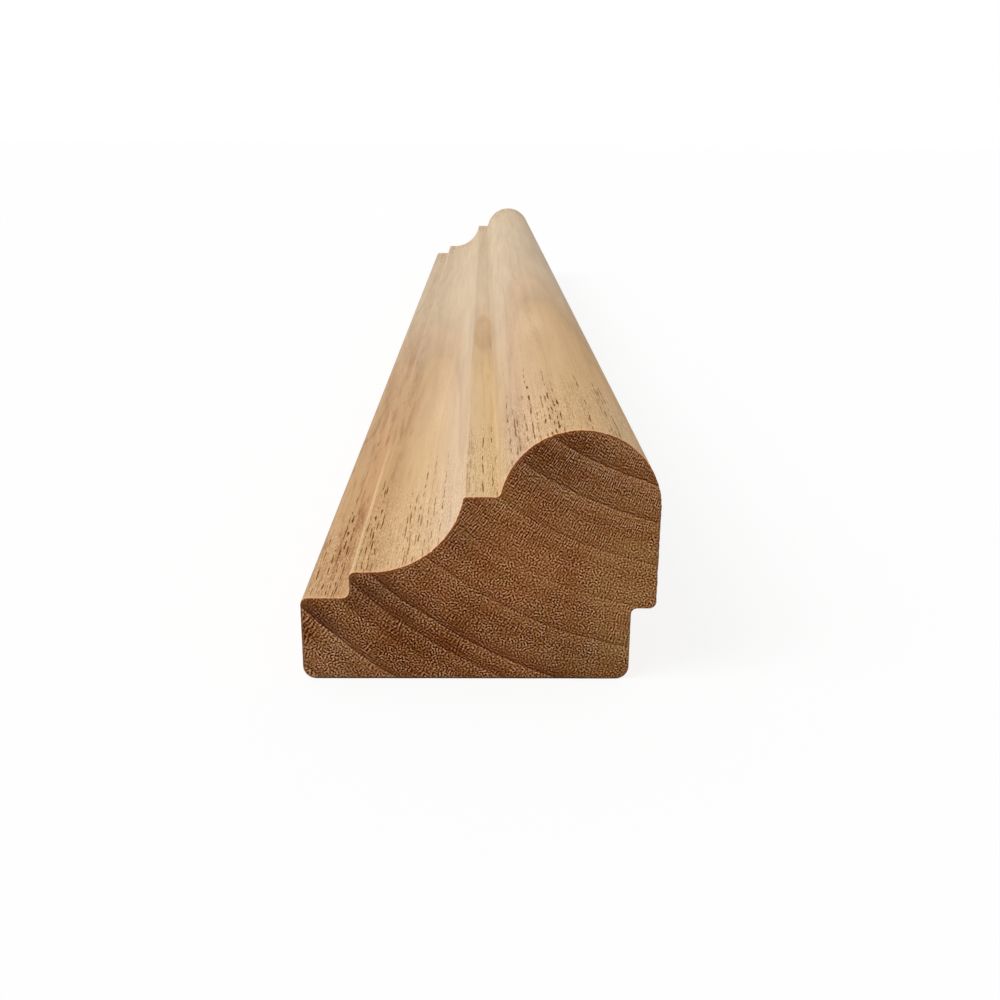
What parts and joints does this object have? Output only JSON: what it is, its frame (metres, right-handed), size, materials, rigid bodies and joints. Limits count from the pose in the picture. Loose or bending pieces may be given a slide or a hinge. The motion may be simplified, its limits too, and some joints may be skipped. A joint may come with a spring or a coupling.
{
  "type": "panel moulding",
  "caption": "Straight length of solid teak panel moulding: stepped fillets, a cove and a half round, with a rebate under the lip that laps a frame.",
  "frame": {"origin": "on the flat back, half way along the length and half way across the overall width", "axes": "+X across the section from the thin edge to the lip, +Y along the length, +Z from the back to the moulded face"},
  "size_m": [0.045, 0.45, 0.033],
  "materials": {
    "teak": "planed, unfinished"
  },
  "bodies": {
    "root": {"moulding": "teak"}
  },
  "joints": []
}
